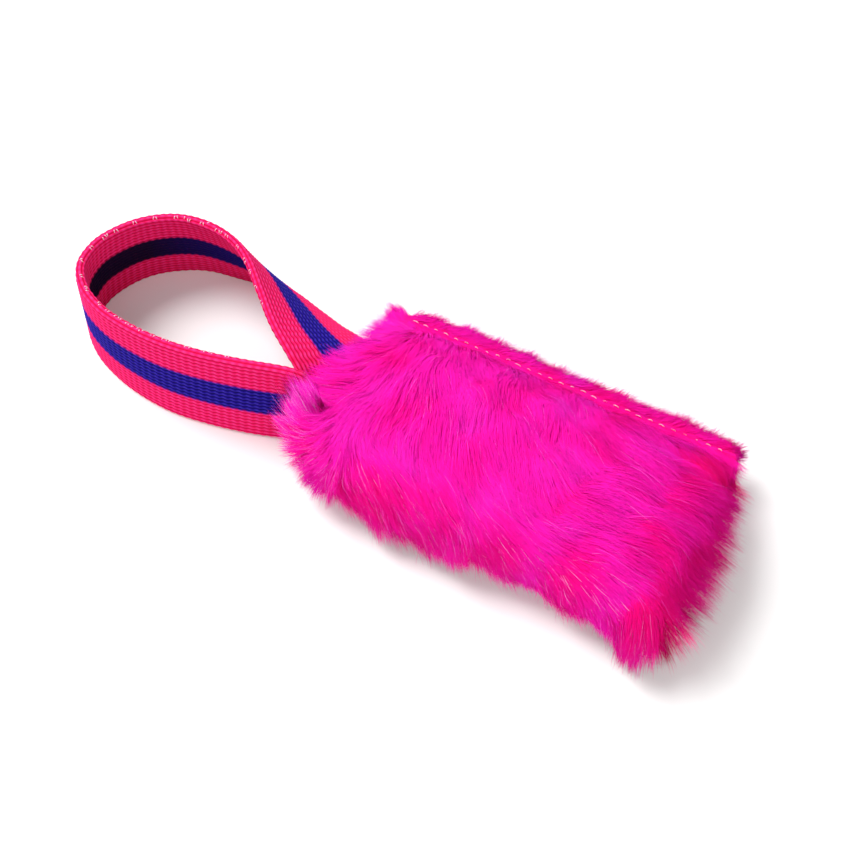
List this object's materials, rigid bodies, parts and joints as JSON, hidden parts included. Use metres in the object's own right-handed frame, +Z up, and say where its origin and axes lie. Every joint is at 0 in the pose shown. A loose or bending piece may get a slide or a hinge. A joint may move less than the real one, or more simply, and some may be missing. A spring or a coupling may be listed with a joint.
{
  "type": "furry dog training dummy",
  "caption": "Padded pillow of long-pile faux fur with a striped webbing loop handle sewn into its short end, for retrieving and tugging.",
  "frame": {"origin": "middle of the whole object's footprint, on the surface that it lies on", "axes": "+X along the pillow away from the handle, +Y towards the stitched long edge, +Z up"},
  "size_m": [0.1783, 0.0573, 0.0259],
  "materials": {
    "pink_fur": "long pile",
    "striped_webbing": "coarse weave",
    "white_thread": "twisted thread",
    "white_fibre": "loose fibre"
  },
  "bodies": {
    "pillow": {"fur_cover": "pink_fur", "fibre_filling": "white_fibre", "lower_strap_end": "striped_webbing", "upper_strap_end": "striped_webbing", "topstitch_needle_thread": "white_thread", "topstitch_bobbin_thread": "white_thread", "handle_end_seam_thread": "white_thread", "plain_end_seam_thread": "white_thread", "strap_tack_thread": "white_thread"},
    "handle": {"handle_loop": "striped_webbing", "catch_thread": "white_thread"}
  },
  "joints": [
    {"name": "handle_swing", "type": "hinge", "parent": "pillow", "child": "handle", "pos_m": [-0.00575, 0, 0.0105], "axis": [0, 1, 0], "range_deg": [-90, 90], "deforming": ["lower_strap_end", "upper_strap_end"]}
  ]
}
